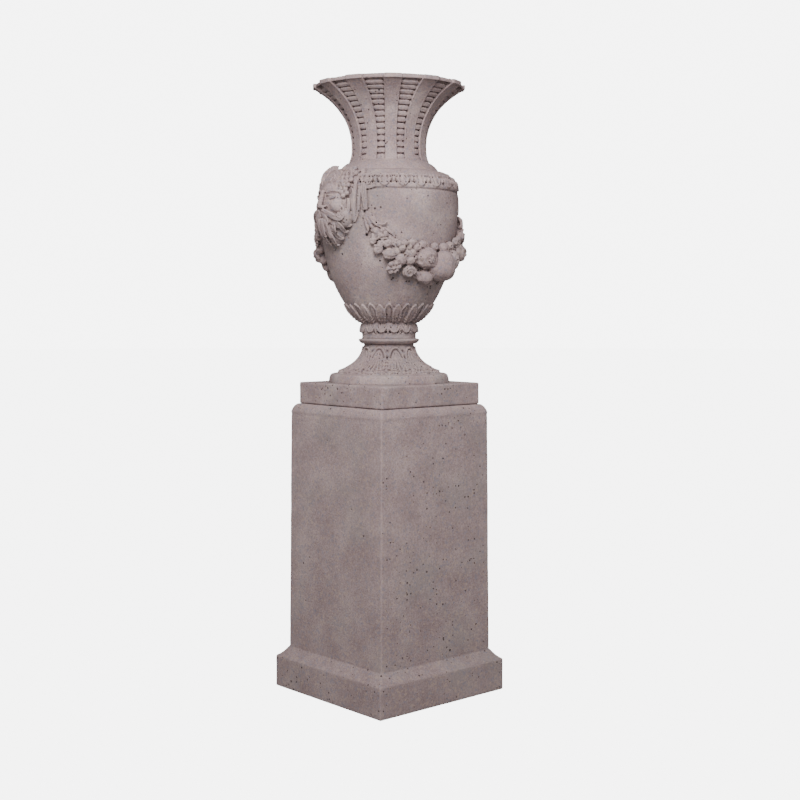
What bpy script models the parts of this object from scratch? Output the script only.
"""Square pedestal carrying a garlanded mask urn, a matching pair in cast stone.

The origin is on the floor under the middle of the pedestal, with +Z up. The masks look along
+X and -X, and the fruit garlands hang on the -Y and +Y sides. All lengths are in metres.
"""

import math

import bmesh
import bpy
from mathutils import Matrix, Vector

# Pedestal
BASE_WIDTH = 0.400
BASE_HEIGHT = 0.075
BASE_CHAMFER_HEIGHT = 0.0215
BASE_QUIRK = 0.0035
DIE_WIDTH = 0.3515
DIE_TOP_WIDTH = 0.3485
CAP_MOULDING_HEIGHT = 0.0225
CAP_LEDGE = 0.0006
CAP_ROUND_TURN = math.radians(62)
PEDESTAL_HEIGHT = 0.7035
PEDESTAL_WALL = 0.045
PEDESTAL_TOP_THICKNESS = 0.050
PEDESTAL_CORNER_ROUND = 0.005

# Gap that keeps two resting castings from sharing a face
JOINT_GAP = 0.0003

# Urn, heights of its members from the plinth upwards
PLINTH_HEIGHT = 0.053
FOOT_EDGE_HEIGHT = 0.0225
SWEEP_HEIGHT = 0.073
RING_HEIGHT = 0.0125
WAIST_HEIGHT = 0.0105
COLLAR_HEIGHT = 0.033
BOWL_HEIGHT = 0.272
BELLY_HEIGHT = 0.0464
SHOULDER_HEIGHT = 0.0485
NECK_CONE_HEIGHT = 0.0201
NECK_STEP_HEIGHT = 0.0060
THROAT_HEIGHT = 0.039
FLARE_HEIGHT = 0.141
RIM_THICKNESS = 0.010

# Urn, widths and radii of the same members
PLINTH_WIDTH = 0.3168
PLINTH_CORNER_ROUND = 0.003
FOOT_RADIUS = 0.1485
FOOT_EDGE_TAPER = 0.006
SWEEP_RADIUS = 0.136
STEM_RADIUS = 0.0615
RING_RADIUS = 0.0757
WAIST_RADIUS = 0.0665
COLLAR_RADIUS = 0.0705
COLLAR_TOP_RADIUS = 0.0646
BOWL_RADIUS = 0.1700
BELLY_TAPER = 0.0015
SHOULDER_LEDGE = 0.0020
BOWL_TOP_RADIUS = BOWL_RADIUS - BELLY_TAPER
SHOULDER_RADIUS = BOWL_TOP_RADIUS + SHOULDER_LEDGE
NECK_RING_RADIUS = 0.1245
NECK_STEP_RADIUS = 0.1066
NECK_FOOT_RADIUS = 0.0990
NECK_RADIUS = 0.0931
FLARE_RADIUS = 0.1830
RIM_RADIUS = 0.1855
URN_WALL = 0.014
URN_FLOOR = 0.030
FOOT_EDGE_LIP = 0.003
RING_UNDERCUT = 0.004
NECK_SOCKET = 0.002
NECK_LAP = 0.010
MOUTH_CLEARANCE = 0.020

# Shape of the swept curves
FOOT_TURN = math.radians(78)
FLARE_TURN = math.radians(55)
BOWL_FULLNESS = 0.685

# Ribs and rungs of the neck
RIB_COUNT = 12
RIB_PROUD = 0.005
RIB_WIDTH_AT_THROAT = 0.028
RIB_WIDTH_AT_RIM = 0.045
RIB_TURN = math.radians(-8)
TAB_PROUD = 0.003
RUNG_COUNT = 14
RUNG_PROUD = 0.0034

# Bands of leaves
PENDANT_COUNT = 24
PENDANT_PROUD = 0.0040
CALYX_COUNT = 30
CALYX_LEAF_LENGTH = 0.062
CALYX_PROUD = 0.0045
CALYX_TURN = math.radians(7.2)
COLLAR_LEAF_COUNT = 14
COLLAR_PROUD = 0.0045
COLLAR_TURN = math.radians(21.1)
ACANTHUS_COUNT = 10
ACANTHUS_PROUD = 0.0050
ACANTHUS_TURN = math.radians(9.5)
LEAF_VALLEY = 0.15
LEAF_NOTCH = 0.34

# Garlands of fruit
GARLAND_SPAN = math.radians(55)
GARLAND_TOP_Z = 1.168
GARLAND_LOW_Z = 1.045
GARLAND_SAG_POWER = 2.0
GARLAND_STATIONS = 9
GARLAND_HALF_WIDTH = 0.016
GARLAND_EXTRA_WIDTH = 0.017
GARLAND_CORE_PROUD = 0.016
FRUIT_RADIUS = 0.0135
BIG_FRUIT_RADIUS = 0.0235
BERRY_RADIUS = 0.0105

# Masks
MASK_Z = 1.186
MASK_HEIGHT = 0.190
MASK_SINK = 0.012

# Ribbons beside each mask
RIBBON_WIDTH = 0.011
RIBBON_PROUD = 0.006
RIBBON_ANGLES = (math.radians(24), math.radians(30))
RIBBON_LENGTHS = (0.105, 0.078)

# Facets
BODY_SEGMENTS = 30
CAVITY_SEGMENTS = 20
CURVE_STEPS = 5
KEPT_FACETS = 0.62
BURY = 0.004

# Heights of the members, worked out from the sizes above
Z_PLINTH = PEDESTAL_HEIGHT + JOINT_GAP
Z_FOOT = Z_PLINTH + PLINTH_HEIGHT
Z_SWEEP = Z_FOOT + FOOT_EDGE_HEIGHT
Z_RING = Z_SWEEP + SWEEP_HEIGHT
Z_WAIST = Z_RING + RING_HEIGHT
Z_COLLAR = Z_WAIST + WAIST_HEIGHT
Z_BOWL = Z_COLLAR + COLLAR_HEIGHT
Z_BELLY = Z_BOWL + BOWL_HEIGHT
Z_SHOULDER = Z_BELLY + BELLY_HEIGHT
Z_NECK_RING = Z_SHOULDER + SHOULDER_HEIGHT
Z_NECK_STEP = Z_NECK_RING + NECK_CONE_HEIGHT
Z_NECK = Z_NECK_STEP + NECK_STEP_HEIGHT
Z_THROAT = Z_NECK + THROAT_HEIGHT
Z_RIM = Z_THROAT + FLARE_HEIGHT
Z_TOP = Z_RIM + RIM_THICKNESS


def sweep(start, end, turn, share):
    """A hollow curve that leaves start upright and turns outwards through turn by end."""
    angle = turn * share
    across = (1 - math.cos(angle)) / (1 - math.cos(turn))
    along = math.sin(angle) / math.sin(turn)
    return (
        start[0] + (end[0] - start[0]) * across,
        start[1] + (end[1] - start[1]) * along,
    )


def foot_curve(share):
    return sweep((STEM_RADIUS, Z_RING), (SWEEP_RADIUS, Z_SWEEP), FOOT_TURN, 1 - share)


def collar_curve(share):
    bulge = math.sin(math.pi * share) ** 0.8
    straight = WAIST_RADIUS + (COLLAR_TOP_RADIUS - WAIST_RADIUS) * share
    return straight + (COLLAR_RADIUS - WAIST_RADIUS) * bulge, Z_COLLAR + COLLAR_HEIGHT * share


def bowl_curve(share):
    up = 1 - (1 - share) ** 1.6
    radius = COLLAR_TOP_RADIUS + (BOWL_RADIUS - COLLAR_TOP_RADIUS) * (
        1 - (1 - up) ** 2
    ) ** BOWL_FULLNESS
    return radius, Z_BOWL + BOWL_HEIGHT * up


def belly_curve(share):
    radius = BOWL_RADIUS + (BOWL_TOP_RADIUS - BOWL_RADIUS) * share**2
    return radius, Z_BELLY + BELLY_HEIGHT * share


def shoulder_curve(share):
    angle = math.pi / 2 * share
    return (
        NECK_RING_RADIUS + (SHOULDER_RADIUS - NECK_RING_RADIUS) * math.cos(angle),
        Z_SHOULDER + SHOULDER_HEIGHT * math.sin(angle),
    )


def throat_curve(share):
    radius = NECK_RADIUS + (NECK_FOOT_RADIUS - NECK_RADIUS) * (1 - share) ** 3
    return radius, Z_NECK + THROAT_HEIGHT * share


def flare_curve(share):
    return sweep((NECK_RADIUS, Z_THROAT), (FLARE_RADIUS, Z_RIM), FLARE_TURN, share)


def by_length(curves, samples=60):
    """Joins curves into one whose share is measured along its length."""
    points = [curve(i / samples) for curve in curves for i in range(samples + 1)]
    travelled = [0.0]
    for a, b in zip(points, points[1:]):
        travelled.append(travelled[-1] + math.dist(a, b))

    def joined(share):
        goal = min(max(share, 0.0), 1.0) * travelled[-1]
        for i in range(1, len(points)):
            if travelled[i] >= goal and travelled[i] > travelled[i - 1]:
                part = (goal - travelled[i - 1]) / (travelled[i] - travelled[i - 1])
                return tuple(p + (q - p) * part for p, q in zip(points[i - 1], points[i]))
        return points[-1]

    joined.length = travelled[-1]
    return joined


FOOT = by_length([foot_curve])
COLLAR = by_length([collar_curve])
BOWL = by_length([bowl_curve, belly_curve])
SHOULDER = by_length([shoulder_curve])
NECK = by_length([throat_curve, flare_curve])


def normal_at(curve, share):
    """The outward normal of a turned surface, as (radial, upward)."""
    step = 0.01
    share = min(max(share, 0), 1)
    low, high = curve(max(share - step, 0)), curve(min(share + step, 1))
    across, along = high[0] - low[0], high[1] - low[1]
    length = math.hypot(across, along)
    return along / length, -across / length


def on_surface(curve, angle, share, proud=0.0):
    """A point on the turned surface, or proud of it. Angle 0 faces -Y and 90 degrees faces +X."""
    radius, height = curve(share)
    radial, upward = normal_at(curve, share)
    radius += radial * proud
    return Vector((radius * math.sin(angle), -radius * math.cos(angle), height + upward * proud))


def bowl_share_at(height):
    """The share along the bowl's curve that lies at a height."""
    low, high = 0.0, 1.0
    for _ in range(40):
        middle = (low + high) / 2
        if BOWL(middle)[1] < height:
            low = middle
        else:
            high = middle
    return (low + high) / 2


def collection(name):
    made = bpy.data.collections.new(name)
    bpy.context.scene.collection.children.link(made)
    return made


def stone(name, colour, roughness):
    material = bpy.data.materials.new(name)
    material.use_nodes = True
    shader = material.node_tree.nodes["Principled BSDF"]
    shader.inputs["Base Color"].default_value = (*colour, 1)
    shader.inputs["Roughness"].default_value = roughness
    shader.inputs["Metallic"].default_value = 0
    return material


def new_object(name, mesh, group, material=None):
    made = bpy.data.objects.new(name, mesh)
    group.objects.link(made)
    if material:
        mesh.materials.append(material)
    return made


def mesh_from(bm, name):
    bm.normal_update()
    bmesh.ops.recalc_face_normals(bm, faces=bm.faces)
    mesh = bpy.data.meshes.new(name)
    bm.to_mesh(mesh)
    bm.free()
    return mesh


def profile_object(name, points, group):
    """An outline of edges in the XZ plane, for a Screw modifier to turn."""
    mesh = bpy.data.meshes.new(name)
    edges = [(i, i + 1) for i in range(len(points) - 1)]
    mesh.from_pydata([(x, 0, z) for x, z in points], edges, [])
    return new_object(name, mesh, group)


def turn(outline, steps):
    screw = outline.modifiers.new("turned", "SCREW")
    screw.steps = steps
    screw.render_steps = steps
    screw.use_merge_vertices = True
    screw.merge_threshold = 0.00005
    screw.use_smooth_shade = False
    return outline


def boolean(target, name, operation, operand=None, group=None):
    cut = target.modifiers.new(name, "BOOLEAN")
    cut.operation = operation
    cut.solver = "EXACT"
    if group:
        cut.operand_type = "COLLECTION"
        cut.collection = group
        cut.use_self = True
    else:
        cut.object = operand
    return cut


def hide_helpers(group):
    for helper in group.objects:
        helper.hide_render = True
        helper.display_type = "WIRE"


def pedestal_outline():
    """Half-widths and heights of the pedestal's moulded side, from the top down."""
    top = PLINTH_WIDTH / 2 + CAP_LEDGE
    die_top = DIE_TOP_WIDTH / 2
    die = DIE_WIDTH / 2
    base = BASE_WIDTH / 2
    z_die = BASE_HEIGHT + BASE_CHAMFER_HEIGHT + BASE_QUIRK
    ovolo = []
    for step in range(5):
        angle = CAP_ROUND_TURN * step / 4
        across = math.sin(angle) / math.sin(CAP_ROUND_TURN)
        down = (1 - math.cos(angle)) / (1 - math.cos(CAP_ROUND_TURN))
        ovolo.append((top + (die_top - top) * across, PEDESTAL_HEIGHT - CAP_MOULDING_HEIGHT * down))
    return [
        (0, PEDESTAL_HEIGHT),
        *ovolo,
        (die, z_die),
        (die + BASE_QUIRK, z_die - BASE_QUIRK),
        (base, BASE_HEIGHT),
        (base, 0),
        (0, 0),
    ]


def pedestal(group, helpers, material):
    """The pedestal, one hollow casting that is open underneath."""
    corners = math.sqrt(2)
    points = [(half * corners, z) for half, z in pedestal_outline()]
    shape = turn(profile_object("pedestal_block", points, helpers), 4)
    shape.rotation_euler.z = math.radians(45)
    bpy.context.view_layer.update()
    evaluated = shape.evaluated_get(bpy.context.evaluated_depsgraph_get())
    bm = bmesh.new()
    bm.from_mesh(bpy.data.meshes.new_from_object(evaluated))
    bm.transform(shape.matrix_world)
    bpy.data.objects.remove(shape)
    bmesh.ops.remove_doubles(bm, verts=bm.verts, dist=0.00005)
    flat = 0.0001
    upright = [
        e
        for e in bm.edges
        if abs(e.verts[0].co.z - e.verts[1].co.z) > flat
        and min(abs(v.co.x) for v in e.verts) > flat
    ]
    bmesh.ops.bevel(
        bm, geom=upright, offset=PEDESTAL_CORNER_ROUND, segments=2, profile=0.5, affect="EDGES"
    )
    block = new_object("pedestal", mesh_from(bm, "pedestal"), group, material)
    hollow_width = DIE_TOP_WIDTH - 2 * PEDESTAL_WALL
    hollow_top = PEDESTAL_HEIGHT - PEDESTAL_TOP_THICKNESS
    bm = bmesh.new()
    bmesh.ops.create_cube(bm, size=1)
    bmesh.ops.scale(bm, verts=bm.verts, vec=(hollow_width, hollow_width, 2 * hollow_top))
    hollow = new_object("pedestal_hollow", mesh_from(bm, "pedestal_hollow"), helpers)
    boolean(block, "hollow", "DIFFERENCE", hollow)
    return block


def steps_of(curve, steps, start=0.0, end=1.0):
    return [curve(start + (end - start) * i / steps) for i in range(steps + 1)]


def urn_outline():
    """Radii and heights of the urn's turned outside, from the neck's foot down."""
    ring_middle = Z_RING + RING_HEIGHT * 0.75
    inside_neck = NECK_RADIUS - RIB_PROUD - BURY
    rising = [
        (FOOT_RADIUS, Z_FOOT - BURY),
        (FOOT_RADIUS, Z_FOOT),
        (FOOT_RADIUS - FOOT_EDGE_TAPER, Z_SWEEP - FOOT_EDGE_LIP),
        *steps_of(FOOT, CURVE_STEPS),
        (RING_RADIUS - RING_UNDERCUT, Z_RING + RING_HEIGHT * 0.2),
        (RING_RADIUS, ring_middle),
        (RING_RADIUS, Z_WAIST),
        (WAIST_RADIUS, Z_WAIST),
        *steps_of(COLLAR, 3),
        *steps_of(BOWL, 8, 0.03),
        (SHOULDER_RADIUS, Z_SHOULDER),
        *steps_of(SHOULDER, 4)[1:],
        (NECK_STEP_RADIUS, Z_NECK_STEP),
        (NECK_FOOT_RADIUS + RING_UNDERCUT, Z_NECK_STEP + NECK_STEP_HEIGHT / 2),
        (NECK_FOOT_RADIUS, Z_NECK),
        (inside_neck, Z_NECK + NECK_SOCKET),
    ]
    return [(0, Z_NECK + NECK_SOCKET), *reversed(rising), (0, Z_FOOT - BURY)]


def neck_outline():
    """The flared neck behind its ribs, stepped by the rungs, from the rim down."""
    rising = []
    for rung in range(RUNG_COUNT):
        low = rung / RUNG_COUNT
        for share, proud in ((low, 0.0), (low + 0.35 / RUNG_COUNT, RUNG_PROUD)):
            radius, height = NECK(share)
            radial, upward = normal_at(NECK, share)
            back = proud - RIB_PROUD
            rising.append((radius + radial * back, height + upward * back))
    rim = [(FLARE_RADIUS - RIB_PROUD, Z_RIM), (RIM_RADIUS, Z_RIM), (RIM_RADIUS, Z_TOP)]
    foot = (rising[0][0], Z_NECK - NECK_LAP)
    return [(0, Z_TOP), *reversed(rim), *reversed(rising), foot, (0, Z_NECK - NECK_LAP)]


def cavity_outline():
    """The inside of the urn, from above the mouth down to its floor."""
    inner_neck = [
        (NECK(share)[0] - RIB_PROUD - URN_WALL, NECK(share)[1])
        for share in (1.0, 0.85, 0.68, 0.5, 0.3, 0.1)
    ]
    mouth = FLARE_RADIUS - URN_WALL * 0.9
    inner_shoulder = (NECK_RING_RADIUS - URN_WALL, Z_NECK_RING - URN_WALL)
    inner_bowl = [
        (BOWL(share)[0] - URN_WALL, BOWL(share)[1]) for share in (0.97, 0.8, 0.62, 0.45, 0.3)
    ]
    floor = Z_BOWL + URN_FLOOR
    low_radius = BOWL(bowl_share_at(floor + 0.01))[0] - 2 * URN_WALL
    return [
        (0, Z_TOP + MOUTH_CLEARANCE),
        (mouth, Z_TOP + MOUTH_CLEARANCE),
        (mouth, Z_TOP),
        *inner_neck,
        inner_shoulder,
        *inner_bowl,
        (low_radius, floor),
        (0, floor),
    ]


def lay(bm, curve, angle, shares, width, proud, bury=BURY):
    """Bends a unit primitive onto the surface: X across, Y outwards and Z along the curve."""
    start, end = shares
    for vertex in bm.verts:
        across, out, along = vertex.co
        share = start + (end - start) * (along + 0.5)
        radius = curve(min(max(share, 0), 1))[0]
        height = out * 2 * (proud if out > 0 else bury)
        vertex.co = on_surface(curve, angle + across * width / radius, share, height)


def slab(rows=1, columns=1):
    """A unit block cut across into rows and columns."""
    bm = bmesh.new()
    bmesh.ops.create_cube(bm, size=1)
    for count, axis in ((rows, Vector((0, 0, 1))), (columns, Vector((1, 0, 0)))):
        for i in range(1, count):
            bmesh.ops.bisect_plane(
                bm,
                geom=bm.verts[:] + bm.edges[:] + bm.faces[:],
                plane_co=axis * (i / count - 0.5),
                plane_no=axis,
            )
    return bm


def add_ribs(relief):
    """Flat ribs on the neck, each widening to a tab at the rim."""
    for i in range(RIB_COUNT):
        angle = RIB_TURN + math.tau * i / RIB_COUNT
        bm = slab(rows=5)
        for vertex in bm.verts:
            along = vertex.co.z + 0.5
            radius = NECK(along)[0]
            grown = (radius - NECK_RADIUS) / (FLARE_RADIUS - NECK_RADIUS)
            width = RIB_WIDTH_AT_THROAT + (RIB_WIDTH_AT_RIM - RIB_WIDTH_AT_THROAT) * grown
            depth = 0 if vertex.co.y > 0 else -RIB_PROUD - BURY
            vertex.co = on_surface(NECK, angle + vertex.co.x * width / radius, along, depth)
        new_object(f"rib_{i}", mesh_from(bm, f"rib_{i}"), relief)
        tab = slab()
        for vertex in tab.verts:
            radius = RIM_RADIUS + TAB_PROUD if vertex.co.y > 0 else RIM_RADIUS - BURY
            turned = angle + vertex.co.x * RIB_WIDTH_AT_RIM / RIM_RADIUS
            height = Z_RIM - 0.0005 + (RIM_THICKNESS + 0.0003) * (vertex.co.z + 0.5)
            vertex.co = Vector((radius * math.sin(turned), -radius * math.cos(turned), height))
        new_object(f"tab_{i}", mesh_from(tab, f"tab_{i}"), relief)


def leaf_band(relief, name, curve, count, root, tip, proud, splits=2, turned=0.0):
    """A ring of pointed leaves around the urn, from their roots to their tips along a curve."""
    columns = splits * count
    bm = slab(rows=3 if splits == 2 else 5, columns=columns)
    ends = [f for f in bm.faces if abs(abs(f.calc_center_median().x) - 0.5) < 0.01 / columns]
    bmesh.ops.delete(bm, geom=ends, context="FACES")
    for vertex in bm.verts:
        column = round((vertex.co.x + 0.5) * columns)
        aside = abs((column / splits + 0.5) % 1 - 0.5) * 2
        reach = (vertex.co.z + 0.5) * (1 - LEAF_NOTCH * aside**2)
        swell = LEAF_VALLEY + (1 - LEAF_VALLEY) * math.cos(math.pi / 2 * aside)
        height = proud * swell if vertex.co.y > 0 else -BURY
        share = root + (tip - root) * reach
        vertex.co = on_surface(curve, turned + math.tau * column / columns, share, height)
    bmesh.ops.remove_doubles(bm, verts=bm.verts, dist=0.00005)
    new_object(name, mesh_from(bm, name), relief)


def add_leaves(relief):
    """The pendant band, the calyx, the collar's leaves and the foot's acanthus."""
    calyx = CALYX_LEAF_LENGTH / BOWL.length
    leaf_band(relief, "pendants", SHOULDER, PENDANT_COUNT, 0.55, 0.02, PENDANT_PROUD)
    leaf_band(
        relief, "calyx", BOWL, CALYX_COUNT, 0.02, calyx, CALYX_PROUD, turned=CALYX_TURN
    )
    leaf_band(
        relief, "collar_leaves", COLLAR, COLLAR_LEAF_COUNT, 0.88, 0.12, COLLAR_PROUD,
        turned=COLLAR_TURN,
    )
    leaf_band(
        relief, "acanthus", FOOT, ACANTHUS_COUNT, 0.10, 0.95, ACANTHUS_PROUD, 4, ACANTHUS_TURN
    )


def garland_point(share):
    """Angle from the garland's middle and height of its centre line, for share -1 to 1."""
    sag = abs(share) ** GARLAND_SAG_POWER
    return GARLAND_SPAN * share, GARLAND_LOW_Z + (GARLAND_TOP_Z - GARLAND_LOW_Z) * sag


def garland_fullness(share):
    return math.exp(-((share / 0.55) ** 2))


def on_garland(facing, share, offset, proud):
    """A point on the bowl at a share of the garland, set off square to its centre line."""
    step = 0.01
    angle, height = garland_point(share)
    before, after = garland_point(share - step), garland_point(share + step)
    run, rise = (after[0] - before[0]) * BOWL_RADIUS, after[1] - before[1]
    length = math.hypot(run, rise)
    at = bowl_share_at(height + offset * run / length)
    sideways = -offset * rise / length / BOWL_RADIUS
    return on_surface(BOWL, facing + angle + sideways, at, proud)


def fruit(relief, name, facing, share, offset, radius, coarse):
    """One round fruit of the garland, half sunk in its core."""
    centre = on_garland(facing, share, offset, max(radius * 0.35, GARLAND_CORE_PROUD * 0.45))
    bm = bmesh.new()
    bmesh.ops.create_icosphere(bm, subdivisions=1 if coarse else 2, radius=radius)
    bmesh.ops.rotate(bm, verts=bm.verts, matrix=Matrix.Rotation(share * 5, 3, "Z"))
    bmesh.ops.translate(bm, verts=bm.verts, vec=centre)
    new_object(name, mesh_from(bm, name), relief)


def add_garland(relief, name, facing):
    """A swag of fruit: a tapering core with large fruit in the middle and small at its edges."""
    core = slab(rows=10, columns=2)
    for vertex in core.verts:
        across, out, along = vertex.co
        share = 2 * along * 0.98
        taper = GARLAND_HALF_WIDTH + GARLAND_EXTRA_WIDTH * garland_fullness(share)
        edge = 1 - abs(2 * across) * 0.45
        height = GARLAND_CORE_PROUD * edge if out > 0 else -BURY
        vertex.co = on_garland(facing, share, 2 * across * taper, height)
    new_object(f"{name}_core", mesh_from(core, f"{name}_core"), relief)
    for i in range(GARLAND_STATIONS):
        share = 2 * i / (GARLAND_STATIONS - 1) - 1
        full = garland_fullness(share)
        middle = FRUIT_RADIUS + (BIG_FRUIT_RADIUS - FRUIT_RADIUS) * full
        fruit(relief, f"{name}_middle_{i}", facing, share * 0.94, 0, middle, False)
        if i == GARLAND_STATIONS - 1:
            break
        between = share + 1 / (GARLAND_STATIONS - 1)
        spread = GARLAND_HALF_WIDTH + GARLAND_EXTRA_WIDTH * garland_fullness(between)
        fruit(relief, f"{name}_low_{i}", facing, between, -spread, FRUIT_RADIUS, True)
        fruit(relief, f"{name}_high_{i}", facing, between, spread, BERRY_RADIUS, True)


def mask_frame(facing):
    """Matrix from a mask's own axes, X right, Y outwards and Z up, to the urn's."""
    at = bowl_share_at(MASK_Z)
    origin = on_surface(BOWL, facing, at, -MASK_SINK)
    outwards = Vector((math.sin(facing), -math.cos(facing), 0))
    across = Vector((0, 0, 1)).cross(outwards)
    frame = Matrix((across, outwards, Vector((0, 0, 1)))).transposed().to_4x4()
    frame.translation = origin
    return frame


def mask_piece(relief, frame, name, centre, radii, tilt=0.0, sides=6, rings=4):
    """An ellipsoid in shares of the mask's height, tilted about the mask's outward axis."""
    bm = bmesh.new()
    bmesh.ops.create_uvsphere(bm, u_segments=sides, v_segments=rings, radius=1)
    bmesh.ops.scale(bm, verts=bm.verts, vec=Vector(radii) * MASK_HEIGHT)
    bmesh.ops.rotate(bm, verts=bm.verts, matrix=Matrix.Rotation(tilt, 3, "Y"))
    bmesh.ops.translate(bm, verts=bm.verts, vec=Vector(centre) * MASK_HEIGHT)
    bm.transform(frame)
    new_object(name, mesh_from(bm, name), relief)


def add_mask(relief, name, facing):
    """A bearded satyr mask. Its ear shows on the +Y side and its grapes hide the other one."""
    frame = mask_frame(facing)
    ear_side = 1 if facing > 0 else -1
    mask_piece(relief, frame, f"{name}_face", (0, 0.02, 0.10), (0.27, 0.24, 0.36), 0, 10, 6)
    mask_piece(relief, frame, f"{name}_nose", (0, 0.25, 0.06), (0.055, 0.075, 0.13))
    mask_piece(relief, frame, f"{name}_crown", (0, 0.05, 0.36), (0.28, 0.17, 0.13))
    for side in (-1, 1):
        tag = f"{name}_{'left' if side < 0 else 'right'}"
        mask_piece(
            relief, frame, f"{tag}_brow", (side * 0.11, 0.22, 0.19), (0.12, 0.05, 0.04),
            side * 0.25,
        )
        mask_piece(
            relief, frame, f"{tag}_moustache", (side * 0.12, 0.20, -0.10), (0.15, 0.06, 0.05),
            side * 0.35,
        )
        if side == ear_side:
            mask_piece(
                relief, frame, f"{tag}_ear", (side * 0.26, 0.0, 0.37), (0.055, 0.06, 0.15),
                side * 0.30,
            )
        else:
            mask_piece(
                relief, frame, f"{tag}_hair", (side * 0.24, 0.0, 0.38), (0.08, 0.07, 0.11),
                side * 0.30,
            )
        for i in range(5):
            mask_piece(
                relief, frame, f"{tag}_grape_{i}",
                (side * (0.26 + 0.03 * (i % 2)), 0.12, 0.33 - 0.075 * i),
                (0.05, 0.05, 0.05), 0, 5, 3,
            )
    for i in range(5):
        spread = (i - 2) / 2
        mask_piece(
            relief, frame, f"{name}_lock_{i}",
            (0.17 * spread, 0.12 - 0.03 * abs(spread), -0.30 + 0.08 * abs(spread)),
            (0.065, 0.09, 0.20), spread * -0.35,
        )


def add_ribbons(relief, name, facing):
    """Two ribbons hanging on the bowl at each side of a mask."""
    top = BOWL.length - 0.002
    for i, (angle, length) in enumerate(zip(RIBBON_ANGLES, RIBBON_LENGTHS)):
        shares = ((top - length) / BOWL.length, top / BOWL.length)
        for side in (-1, 1):
            bm = slab(rows=3)
            lay(bm, BOWL, facing + side * angle, shares, RIBBON_WIDTH, RIBBON_PROUD)
            new_object(f"{name}_{i}_{side}", mesh_from(bm, f"{name}_{i}_{side}"), relief)


def urn(group, helpers, relief, material):
    """The urn with its square plinth, one casting, hollow from the mouth to the bowl's floor."""
    bm = bmesh.new()
    bmesh.ops.create_cube(bm, size=1)
    bmesh.ops.scale(bm, verts=bm.verts, vec=(PLINTH_WIDTH, PLINTH_WIDTH, PLINTH_HEIGHT))
    bmesh.ops.translate(bm, verts=bm.verts, vec=(0, 0, Z_PLINTH + PLINTH_HEIGHT / 2))
    upright = [e for e in bm.edges if abs(e.verts[0].co.z - e.verts[1].co.z) > PLINTH_HEIGHT / 2]
    bmesh.ops.bevel(bm, geom=upright, offset=PLINTH_CORNER_ROUND, segments=1, affect="EDGES")
    vessel = new_object("urn", mesh_from(bm, "urn"), group, material)

    turn(profile_object("urn_body", urn_outline(), relief), BODY_SEGMENTS)
    neck = turn(profile_object("urn_neck", neck_outline(), relief), 2 * RIB_COUNT)
    neck.rotation_euler.z = RIB_TURN + math.pi / (2 * RIB_COUNT)
    add_ribs(relief)
    add_leaves(relief)
    for name, facing in (("front_garland", 0.0), ("back_garland", math.pi)):
        add_garland(relief, name, facing)
    for name, facing in (("right_mask", math.pi / 2), ("left_mask", -math.pi / 2)):
        add_mask(relief, name, facing)
        add_ribbons(relief, f"{name}_ribbon", facing)
    cavity = turn(profile_object("urn_cavity", cavity_outline(), helpers), CAVITY_SEGMENTS)
    boolean(vessel, "relief", "UNION", group=relief)
    boolean(vessel, "cavity", "DIFFERENCE", cavity)
    thinned = vessel.modifiers.new("thinned", "DECIMATE")
    thinned.ratio = KEPT_FACETS
    return vessel


def main():
    for old in list(bpy.data.objects):
        bpy.data.objects.remove(old)
    parts = collection("pedestal_with_urn")
    helpers = collection("cutters")
    relief = collection("relief")
    pedestal(parts, helpers, stone("cast_stone_pedestal", (0.31, 0.255, 0.245), 0.88))
    urn(parts, helpers, relief, stone("cast_stone_urn", (0.335, 0.275, 0.262), 0.88))
    hide_helpers(helpers)
    hide_helpers(relief)


main()
